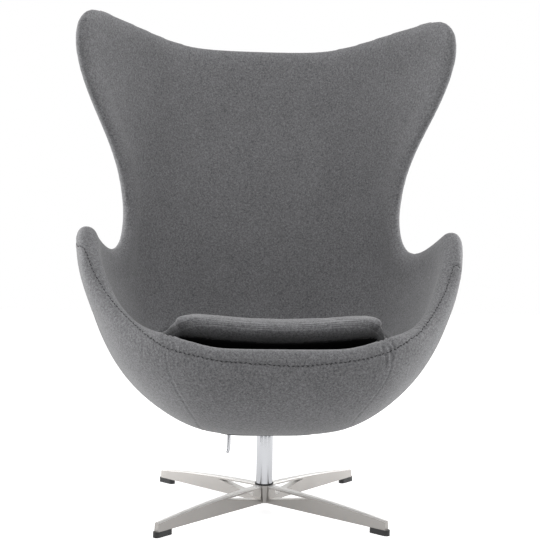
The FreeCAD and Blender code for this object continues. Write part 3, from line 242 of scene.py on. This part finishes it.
# The rim of the inner cover is soft: padding inside the arms rounds it over far more than outside.
lining_copy = merged_copy(["inner_upholstery"], "inner_copy")
inner_tree = surface_tree(lining_copy)
copy_form = bmesh.new()
copy_form.from_mesh(lining_copy.data)
skin_tree = BVHTree.FromBMesh(cover_form)
SHARP = math.radians(40)
SKIN_REACH = 0.0035
edge_spots = {}
for edge in copy_form.edges:
    if len(edge.link_faces) == 2 and edge.calc_face_angle(0) > SHARP:
        ends = [vert.co.copy() for vert in edge.verts]
        if all(skin_tree.find_nearest(spot, SKIN_REACH)[0] is not None for spot in ends):
            for vert in edge.verts:
                edge_spots.setdefault(vert.index, vert.co.copy())
rim_points = [spot for spot in edge_spots.values() if spot.z > 0.33]
copy_form.free()
bpy.data.objects.remove(lining_copy)


def chain_of(spots, start, end):
    """Spots put in order by always taking the nearest one left, from near one point to near another."""
    left = [spot for spot in spots if spot.x * end.x > 0 or abs(spot.x) < 0.03]
    here = min(left, key=lambda spot: (spot - start).length)
    line = [here]
    left.remove(here)
    while left and (line[-1] - end).length > 0.03:
        here = min(left, key=lambda spot: (spot - line[-1]).length)
        if (here - line[-1]).length > 0.08:
            break
        line.append(here)
        left.remove(here)
    return line


def resampled(line, pitch, closed=False):
    """Points a pitch apart along a line."""
    points = line + line[:1] if closed else line
    out = [points[0].copy()]
    short = 0
    for start, end in zip(points, points[1:]):
        run = (end - start).length
        place = pitch - short
        while place <= run:
            out.append(start.lerp(end, place / run))
            place += pitch
        short = (short + run) % pitch
    return out


def smoothed(line, turns, closed=False):
    """A line whose points move halfway to the middle of their neighbours, some times over."""
    for turn in range(turns):
        new = []
        for place, point in enumerate(line):
            if not closed and place in (0, len(line) - 1):
                new.append(point)
                continue
            middle = (line[place - 1] + line[(place + 1) % len(line)]) / 2
            new.append(point.lerp(middle, 0.5))
        line = new
    return line


def laid_on(line, tree):
    return [tree.find_nearest(point)[0] for point in line]


HALF_FRAME = 270
PIXELS = HALF_FRAME / math.tan(CAMERA_FIELD / 2)


def seen_at(pixel, tree):
    """The point of a surface that the camera sees at a pixel of the photograph's frame."""
    way = ahead + right * ((pixel[0] - HALF_FRAME) / PIXELS) + up * ((HALF_FRAME - pixel[1]) / PIXELS)
    return tree.ray_cast(CAMERA_PLACE, way.normalized())[0]


def bump(value, middle, reach):
    """1 at the middle, falling smoothly to 0 at the reach on both sides."""
    share = min(abs(value - middle) / reach, 1)
    return (1 - share * share) ** 2


# The covers are padded out by hand: the wing tips and the sides of the arms stand a little proud.
TIP_SWELL = 0.007
ARM_SWELL = 0.006
for vert in cover_form.verts:
    spot = vert.co
    side = 1 if spot.x > 0 else -1
    outward = min(abs(spot.x) / 0.3, 1) ** 2
    spot.x += side * outward * (TIP_SWELL * bump(spot.z, 1.05, 0.2) + ARM_SWELL * bump(spot.z, 0.53, 0.12))
LIP_RISE = 0.009
for vert in cover_form.verts:
    spot = vert.co
    if spot.y < -0.24 and abs(spot.x) < 0.27 and spot.z > 0.35:
        spot.z += LIP_RISE * bump(abs(spot.x), 0.185, 0.085) * min((spot.z - 0.35) / 0.04, 1)
skin_tree = BVHTree.FromBMesh(cover_form)


# The sewn seams. The long one runs outside the crest of the rim, all the way round; two more close the apron.
SEAM_LEFT = [(217, 361), (187, 354), (165, 348), (146, 335), (129, 318.5), (108, 295), (93.5, 272), (84, 247)]
SEAM_RIGHT = [
    (300, 367), (347, 362), (367, 359), (394.6, 350), (420, 333), (434, 313), (446, 290), (455, 262)]
APRON_LEFT = [(166, 349), (168, 368), (176, 389), (186, 405), (196, 420)]
APRON_RIGHT = [(394, 351), (391, 367), (386, 381), (376, 395), (367, 405), (356.5, 417)]
TUCKS = [
    [(169, 328), (167, 338), (170, 347)],
    [(173, 331), (172, 339), (176, 349)],
    [(164, 331), (163, 339), (165, 346)],
    [(377, 337), (385, 343), (391, 351), (391, 361)],
    [(382, 335), (389, 341), (395, 350)],
    [(373, 340), (381, 347), (386, 356), (386, 365)],
]
PANEL_CORNER = Vector((0.118, -0.118, 0.19))
top_middle = max((spot for spot in rim_points if abs(spot.x) < 0.06), key=lambda spot: spot.z)
sides = []
for sign, pixels in ((-1, SEAM_LEFT), (1, SEAM_RIGHT)):
    front = [spot for spot in (seen_at(pixel, skin_tree) for pixel in pixels) if spot]
    behind = chain_of([spot for spot in rim_points if spot.y > front[-1].y or spot.z > 0.62],
                      front[-1], Vector((sign * 0.01, top_middle.y, top_middle.z)))
    sides.append(front + [spot for spot in behind if (spot - front[-1]).length > 0.03])
left_side, right_side = sides
loop = left_side[::-1] + right_side
rim_seam = resampled(loop, 0.004, closed=True)
rim_seam = laid_on(smoothed(rim_seam, 12, closed=True), skin_tree)
apron_seams = []
for sign, pixels in ((-1, APRON_LEFT), (1, APRON_RIGHT)):
    line = [spot for spot in (seen_at(pixel, skin_tree) for pixel in pixels) if spot]
    corner = Vector((sign * PANEL_CORNER.x, PANEL_CORNER.y, PANEL_CORNER.z))
    line += [line[-1].lerp(corner, share) for share in (0.35, 0.7, 1)]
    apron_seams.append(laid_on(smoothed(resampled(line, 0.004), 12), skin_tree))
tucks = []
for pixels in TUCKS:
    line = [spot for spot in (seen_at(pixel, skin_tree) for pixel in pixels) if spot]
    tucks.append(laid_on(smoothed(resampled(line, 0.003), 6), skin_tree))


def spot_tree(lines):
    """A search tree of all the points of some lines."""
    spots = [spot for line in lines for spot in line]
    tree = KDTree(len(spots))
    for place, spot in enumerate(spots):
        tree.insert(spot, place)
    tree.balance()
    return tree


# Inside the arms the rim has no edge: its inner turn is relaxed, and the crest and the outside are held.
RIM_FOOT = 0.36
INSIDE_SETTLING = 40
INNER_SKIN = 0.004
seam_spots = spot_tree([rim_seam])
CREST_REACH = 0.048
SOFT_REACH = 0.135
inside_turn = []
for vert in cover_form.verts:
    if vert.co.z < RIM_FOOT:
        continue
    away = seam_spots.find(vert.co)[2]
    if CREST_REACH < away < SOFT_REACH and inner_tree.find_nearest(vert.co, INNER_SKIN)[0] is not None:
        inside_turn.append(vert)
relax(cover_form, inside_turn, INSIDE_SETTLING)


def refined(form, tree, reach):
    """Cuts the faces near some lines in four."""
    near = set()
    for face in form.faces:
        if tree.find(face.calc_center_median())[2] < reach:
            near.update(face.edges)
    bmesh.ops.subdivide_edges(form, edges=list(near), cuts=1, use_grid_fill=True)


def grooved(form, tree, depth, width):
    """Draws the surface in along some lines, and lets it swell a little beside them."""
    form.normal_update()
    for vert in form.verts:
        away = tree.find(vert.co)[2]
        if away < 5 * width:
            fall = math.exp(-(away / width) ** 2)
            swell = 0.25 * math.exp(-((away - 2.6 * width) / (1.2 * width)) ** 2)
            vert.co += vert.normal * depth * (swell - fall)


FINE_REACH = 0.012
RIM_GROOVE = (0.0020, 0.0026)
APRON_GROOVE = (0.0011, 0.0020)
TUCK_GROOVE = (0.0024, 0.0024)
refined(cover_form, spot_tree([rim_seam] + apron_seams + tucks), FINE_REACH)
grooved(cover_form, spot_tree([rim_seam]), *RIM_GROOVE)
grooved(cover_form, spot_tree(apron_seams), *APRON_GROOVE)
grooved(cover_form, spot_tree(tucks), *TUCK_GROOVE)
save_form(cover_form, cover)
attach(cover, "seat")
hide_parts("inner_upholstery", "outer_upholstery", "front_apron")


def felt_material(name, dark, light):
    """Felted melange wool: dark and light fibres are mixed before spinning, so the grey is finely mottled.
    It is dry, with a short nap that catches light at grazing angles. The fibres are drawn about three times
    too coarse, so that they show."""
    cloth = bpy.data.materials.new(name)
    tree = new_tree(cloth)
    place = add_node(tree, "ShaderNodeTexCoord").outputs["Object"]
    fleck = add_node(tree, "ShaderNodeTexNoise", {
        "Vector": place, "Scale": 640.0, "Detail": 2.0, "Roughness": 0.7})
    fibre = add_node(tree, "ShaderNodeTexNoise", {
        "Vector": place, "Scale": 260.0, "Detail": 3.0, "Roughness": 0.6})
    cloud = add_node(tree, "ShaderNodeTexNoise", {"Vector": place, "Scale": 14.0, "Detail": 2.0})
    both = add_node(tree, "ShaderNodeMath", {
        0: fleck.outputs["Fac"], 1: fibre.outputs["Fac"]}, operation="ADD")
    shade = add_node(tree, "ShaderNodeMath", {0: cloud.outputs["Fac"], 1: 0.12}, operation="MULTIPLY")
    sum_all = add_node(tree, "ShaderNodeMath", {0: both.outputs[0], 1: shade.outputs[0]}, operation="ADD")
    spread = add_node(tree, "ShaderNodeMapRange", {
        "Value": sum_all.outputs[0], "From Min": 0.78, "From Max": 1.34})
    colour = add_node(tree, "ShaderNodeMix", {
        0: spread.outputs[0], 6: linear(dark), 7: linear(light)}, data_type="RGBA")
    nap = add_node(tree, "ShaderNodeBump", {"Height": both.outputs[0], "Strength": 0.4, "Distance": 0.0006})
    shader = add_node(tree, "ShaderNodeBsdfPrincipled", {
        "Base Color": colour.outputs[2], "Roughness": 0.95, "Specular IOR Level": 0.15, "Sheen Weight": 0.3,
        "Sheen Roughness": 0.45, "Normal": nap.outputs[0]})
    add_node(tree, "ShaderNodeOutputMaterial", {"Surface": shader.outputs[0]})
    return cloth


felt = felt_material("melange_wool_felt", "#565658", "#929294")
cover.data.materials.append(felt)


# Seam thread. Waxed linen, darker than the felt, laid over the long seam by hand in short slanting
# stitches, so its line looks slightly crooked. The stitches sink into the groove that they pull.

STITCH_PITCH = 0.0085
STITCH_LENGTH = 0.0066
THREAD_RADIUS = 0.0009
STITCH_SLANT = math.radians(20)


def stitched(form, line, tree, pitch, length, radius, slant):
    """Adds a slanting stitch at every pitch of a line."""
    points = resampled(line, pitch)
    for place in range(1, len(points) - 1):
        along = (points[place + 1] - points[place - 1]).normalized()
        spot, out = tree.find_nearest(points[place])[:2]
        out = (out - along * out.dot(along)).normalized()
        across = out.cross(along)
        turn = slant if place % 2 else -slant
        way = along * math.cos(turn) + across * math.sin(turn)
        side = out.cross(way)
        grid = Matrix((
            (way.x * length / 2, side.x * radius, out.x * radius, spot.x + out.x * radius * 0.4),
            (way.y * length / 2, side.y * radius, out.y * radius, spot.y + out.y * radius * 0.4),
            (way.z * length / 2, side.z * radius, out.z * radius, spot.z + out.z * radius * 0.4),
            (0, 0, 0, 1),
        ))
        bmesh.ops.create_uvsphere(form, u_segments=6, v_segments=5, radius=1, matrix=grid)


def new_piece(name, form):
    """A new piece with the shape of a bmesh."""
    mesh = bpy.data.meshes.new(name)
    piece = bpy.data.objects.new(name, mesh)
    scene.collection.objects.link(piece)
    save_form(form, piece)
    return piece


sewn_surface = surface_tree(cover)
thread_form = bmesh.new()
stitched(thread_form, rim_seam + rim_seam[:1], sewn_surface, STITCH_PITCH, STITCH_LENGTH, THREAD_RADIUS,
         STITCH_SLANT)
bmesh.ops.recalc_face_normals(thread_form, faces=thread_form.faces)
thread = new_piece("seam_thread", thread_form)
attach(thread, "seat")


def plain_material(name, colour, roughness, metallic=0.0, grain=900.0, bump=0.15, spread=0.12, sheen=0.0):
    """A moulded, cast, turned or plated surface with a fine grain in its gloss and relief."""
    made = bpy.data.materials.new(name)
    tree = new_tree(made)
    place = add_node(tree, "ShaderNodeTexCoord").outputs["Object"]
    fine = add_node(tree, "ShaderNodeTexNoise", {
        "Vector": place, "Scale": grain, "Detail": 3.0, "Roughness": 0.6})
    broad = add_node(tree, "ShaderNodeTexNoise", {"Vector": place, "Scale": 25.0, "Detail": 2.0})
    gloss = add_node(tree, "ShaderNodeMapRange", {
        "Value": broad.outputs["Fac"], "From Min": 0.3, "From Max": 0.7,
        "To Min": max(0.02, roughness - spread), "To Max": min(1.0, roughness + spread)})
    relief = add_node(tree, "ShaderNodeBump", {
        "Height": fine.outputs["Fac"], "Strength": bump, "Distance": 0.0002})
    shader = add_node(tree, "ShaderNodeBsdfPrincipled", {
        "Base Color": linear(colour), "Metallic": metallic, "Roughness": gloss.outputs[0],
        "Sheen Weight": sheen, "Normal": relief.outputs[0]})
    add_node(tree, "ShaderNodeOutputMaterial", {"Surface": shader.outputs[0]})
    return made


linen = plain_material("waxed_linen_thread", "#29292b", 0.7, grain=1500.0, bump=0.4)
thread.data.materials.append(linen)


# Seat foam. A moulded block of flexible foam under the cushion, which rests in the bowl. It is covered
# in the felt of the shell; across the middle, where the cushion lies on it, the felt is painted near-black as painted
# shade for the dark gap under the cushion's front.

def soft_copy(node, name, voxel, turns):
    """An even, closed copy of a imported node, as a bmesh and its piece."""
    piece = merged_copy([node], name)
    even_mesh(piece, voxel)
    form = bmesh.new()
    form.from_mesh(piece.data)
    relax(form, form.verts, turns)
    return form, piece


foam_form, foam = soft_copy("seat_block", "seat_foam_block", 0.007, 3)
save_form(foam_form, foam)
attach(foam, "seat")
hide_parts("seat_block")
# Painted shade: within this half width of the middle the felt is painted near-black, in place of the shadow under the
# cushion's front.
PAINTED_SHADE_HALF_WIDTH = 0.185
PAINTED_SHADE_MERGE = 0.006
deck_felt_painted_shade = felt.copy()
deck_felt_painted_shade.name = "deck_felt_painted_shade"
tree = deck_felt_painted_shade.node_tree
place = add_node(tree, "ShaderNodeTexCoord").outputs["Object"]
apart = add_node(tree, "ShaderNodeSeparateXYZ", {"Vector": place})
across = add_node(tree, "ShaderNodeMath", {0: apart.outputs["X"]}, operation="ABSOLUTE")
painted_shade_mask = add_node(tree, "ShaderNodeMapRange", {
    "Value": across.outputs[0], "From Min": PAINTED_SHADE_HALF_WIDTH - PAINTED_SHADE_MERGE, "From Max": PAINTED_SHADE_HALF_WIDTH + PAINTED_SHADE_MERGE})
shader = next(node for node in tree.nodes if node.type == "BSDF_PRINCIPLED")
grey = shader.inputs["Base Color"].links[0].from_socket
# Mixes the painted near-black shade into the felt's grey across the middle.
felt_and_painted_shade = add_node(tree, "ShaderNodeMix", {
    0: painted_shade_mask.outputs[0], 6: linear("#0b0b0c"), 7: grey}, data_type="RGBA")
tree.links.new(felt_and_painted_shade.outputs[2], shader.inputs["Base Color"])
foam.data.materials.append(deck_felt_painted_shade)


# Cushion lining. A thin felt pad sewn under the cushion, set back from its edge, keeps it from sliding; its near-black
# colour is painted shade, so the gap under the cushion's front renders dark.

NARROW_FRONT = 0.07
NARROW_SIDES = 0.13


def share_of_front(spot):
    """0 in the back half of the loose seat, rising smoothly to 1 at its front edge."""
    forward = min(max((-spot.y - 0.16) / 0.16, 0), 1)
    return forward * forward * (3 - 2 * forward)


def draw_in(spot):
    """Draws a point of the loose seat in from the sides of the bowl."""
    ramp = share_of_front(spot)
    spot.x *= 1 - NARROW_FRONT * ramp - NARROW_SIDES * bump(spot.y, -0.16, 0.26) * (1 - ramp)


lining_form, lining = soft_copy("cushion_lining", "lining_pad", 0.003, 1)
bmesh.ops.dissolve_degenerate(lining_form, dist=0.0001, edges=lining_form.edges)
for vert in lining_form.verts:
    draw_in(vert.co)
save_form(lining_form, lining)
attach(lining, "cushion")
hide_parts("cushion_lining")
# The pad's near-black is painted shade for the gap under the cushion's front.
lining.data.materials.append(plain_material("black_felt_painted_shade", "#101011", 0.95, grain=700.0, bump=0.7))


# Seat cushion. Loose pad of the same felt over foam: crowned in the middle, with a thick rolled edge that
# curls up a little at the front and is quilted there by four rows of stitches close together.

CUSHION_SHRINK = 0.003
CUSHION_CAP = 0.006
CUSHION_MESH = 0.006
cushion_form, cushion = soft_copy("seat_cushion", "felt_cushion", CUSHION_MESH, 3)
start = [vert.co.copy() for vert in cushion_form.verts]
cushion_form.normal_update()
for vert in cushion_form.verts:
    vert.co -= vert.normal * CUSHION_SHRINK
save_form(cushion_form, cushion)
cloth = cushion.modifiers.new("cloth", "CLOTH")
cloth.settings.use_pressure = True
cloth.settings.uniform_pressure_force = 4
cloth.settings.effector_weights.gravity = 0
cloth.point_cache.frame_start = 1
cloth.point_cache.frame_end = 20
for frame_number in range(1, 21):
    scene.frame_set(frame_number)
keep_shape(cushion)
scene.frame_set(1)
for vert, place in zip(cushion.data.vertices, start):
    moved = vert.co - place
    if moved.length > CUSHION_CAP:
        vert.co = place + moved * (CUSHION_CAP / moved.length)
cushion_form = bmesh.new()
cushion_form.from_mesh(cushion.data)
relax(cushion_form, cushion_form.verts, 2)
FRONT_LIFT = 0.005
END_LIFT = 0.004
END_REACH = 0.201
END_ROUND = 0.022
for vert in cushion_form.verts:
    ramp = share_of_front(vert.co)
    vert.co.z += ramp * (FRONT_LIFT + END_LIFT * min(abs(vert.co.x) / 0.22, 1) ** 2)
    draw_in(vert.co)
    beyond = abs(vert.co.x) - (END_REACH - END_ROUND)
    if ramp > 0 and beyond > 0:
        side = 1 if vert.co.x > 0 else -1
        held = END_REACH - END_ROUND + END_ROUND * math.tanh(beyond / END_ROUND)
        vert.co.x = side * (abs(vert.co.x) + (held - abs(vert.co.x)) * ramp)
CORNER_START = (0.165, -0.2)
CORNER_SETTLING = 14
corners = [vert for vert in cushion_form.verts
           if vert.co.y < CORNER_START[1] and abs(vert.co.x) > CORNER_START[0]]
relax(cushion_form, corners, CORNER_SETTLING)
QUILT_ROWS = (0.0015, 0.0050, 0.0085, 0.0120)
QUILT_BAND = 0.034
QUILT_DEPTH = 0.0011
QUILT_WIDTH = 0.0011
front_by_place = {}
for vert in cushion_form.verts:
    key = round(vert.co.x / 0.02)
    if key not in front_by_place or vert.co.y < front_by_place[key].y:
        front_by_place[key] = vert.co.copy()
front_line = smoothed([front_by_place[key] for key in sorted(front_by_place)][1:-1], 6)


def front_at(x):
    """The foremost point of the cushion at a place across it."""
    for one, other in zip(front_line, front_line[1:]):
        if one.x <= x <= other.x:
            return one.lerp(other, (x - one.x) / (other.x - one.x))
    return front_line[0] if x < front_line[0].x else front_line[-1]


near_front = set()
for face in cushion_form.faces:
    middle = face.calc_center_median()
    if middle.y < front_at(middle.x).y + QUILT_BAND and middle.z > front_at(middle.x).z - 0.006:
        near_front.update(face.edges)
bmesh.ops.subdivide_edges(cushion_form, edges=list(near_front), cuts=3, use_grid_fill=True)
cushion_form.normal_update()
for vert in cushion_form.verts:
    front = front_at(vert.co.x)
    if vert.co.y < front.y + QUILT_BAND and abs(vert.co.x) < front_line[-1].x:
        rise = vert.co.z - front.z
        for row in QUILT_ROWS:
            vert.co -= vert.normal * QUILT_DEPTH * math.exp(-((rise - row) / QUILT_WIDTH) ** 2)
save_form(cushion_form, cushion)
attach(cushion, "cushion")
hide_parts("seat_cushion")
cushion.data.materials.append(felt)


# Metal, plastic and rubber parts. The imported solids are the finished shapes; each gets its real surface.
# The star base is cast and bead-blasted, the column and lever are chromed, and the inner parts are turned,
# zinc-plated or painted.

cast_aluminium = plain_material("satin_cast_aluminium", "#999693", 0.36, metallic=0.85, grain=700.0,
                                bump=0.12, spread=0.06)
# The casting is blasted all over; its upward-facing faces and edges are painted near-white and made less metallic, a
# painted highlight for the light from above.
tree = cast_aluminium.node_tree
shader = next(node for node in tree.nodes if node.type == "BSDF_PRINCIPLED")
facing = add_node(tree, "ShaderNodeNewGeometry").outputs["Normal"]
apart = add_node(tree, "ShaderNodeSeparateXYZ", {"Vector": facing})
# Painted highlight: faces that point up are painted lighter, as if lit by the lamps above.
painted_highlight_mask = add_node(tree, "ShaderNodeMapRange", {"Value": apart.outputs["Z"], "From Min": 0.35, "From Max": 0.6})
painted_highlight_tone = add_node(tree, "ShaderNodeMix", {
    0: painted_highlight_mask.outputs[0], 6: linear("#999693"), 7: linear("#efedea")}, data_type="RGBA")
tree.links.new(painted_highlight_tone.outputs[2], shader.inputs["Base Color"])
painted_highlight_metallic = add_node(tree, "ShaderNodeMapRange", {"Value": painted_highlight_mask.outputs[0], "To Min": 0.85, "To Max": 0.25})
tree.links.new(painted_highlight_metallic.outputs[0], shader.inputs["Metallic"])
chrome = plain_material("bright_chrome", "#acadb0", 0.07, metallic=1.0, grain=300.0, bump=0.01, spread=0.03)
glide_nylon = plain_material("black_glide_nylon", "#171718", 0.5, grain=900.0, bump=0.3)
gasket_rubber = plain_material("black_rubber", "#121213", 0.75, grain=800.0, bump=0.4)
acetal = plain_material("white_acetal", "#e2e1dc", 0.35, grain=700.0, bump=0.1)
zinc = plain_material("zinc_plated_steel", "#a9abae", 0.3, metallic=1.0, grain=600.0, bump=0.1)
painted = plain_material("black_painted_casting", "#1a1a1b", 0.55, grain=350.0, bump=0.5)
laminate = plain_material("moulded_glass_fibre", "#c9c3b2", 0.5, grain=200.0, bump=0.5)
# Grey curved cards stand round the foot of the chair, out of the camera's sight, as a photographer sets them:
# the chrome mirrors them as upright grey bands.
CARD_REACH = 0.80
CARD_HEIGHT = 0.75
CARDS = {"left": ("#9a9a9c", -66, -30), "middle": ("#a4a4a6", -14, 24), "right": ("#7c7c7e", 40, 80)}
for side, (shade, first, last) in CARDS.items():
    card_form = bmesh.new()
    foot = Vector((math.sin(math.radians(first)), -math.cos(math.radians(first)), 0)) * CARD_REACH
    low = card_form.verts.new(foot)
    high = card_form.verts.new(foot + Vector((0, 0, CARD_HEIGHT)))
    upright = card_form.edges.new((low, high))
    bmesh.ops.spin(card_form, geom=[low, high, upright], cent=(0, 0, 0), axis=(0, 0, 1),
                   angle=math.radians(last - first), steps=10, use_merge=False)
    card = new_piece("grey_card_" + side, card_form)
    card_paper = bpy.data.materials.new("grey_card_" + side)
    tree = new_tree(card_paper)
    glow = add_node(tree, "ShaderNodeEmission", {"Color": linear(shade), "Strength": 1.0})
    add_node(tree, "ShaderNodeOutputMaterial", {"Surface": glow.outputs[0]})
    card.data.materials.append(card_paper)
    card.visible_camera = False
    card.visible_diffuse = False
    card.visible_shadow = False
    card.visible_transmission = False
finishes = {
    "star_base": cast_aluminium,
    "column_tube": chrome,
    "tilt_lever": chrome,
    "column_ring": gasket_rubber,
    "rubber_sleeves": gasket_rubber,
    "stop_buffers": gasket_rubber,
    "lower_bush": acetal,
    "upper_bush": acetal,
    "lever_bushes": acetal,
    "shell_core": laminate,
    "bottom_panel": glide_nylon,
    "tilt_housing": painted,
    "seat_bracket": painted,
    "brake_segment": painted,
    "brake_cam": painted,
}
for corner in ("back_right", "back_left", "front_left", "front_right"):
    finishes["glide_" + corner] = glide_nylon
for node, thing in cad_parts.items():
    for slot in thing.material_slots:
        slot.material = finishes.get(node, zinc)
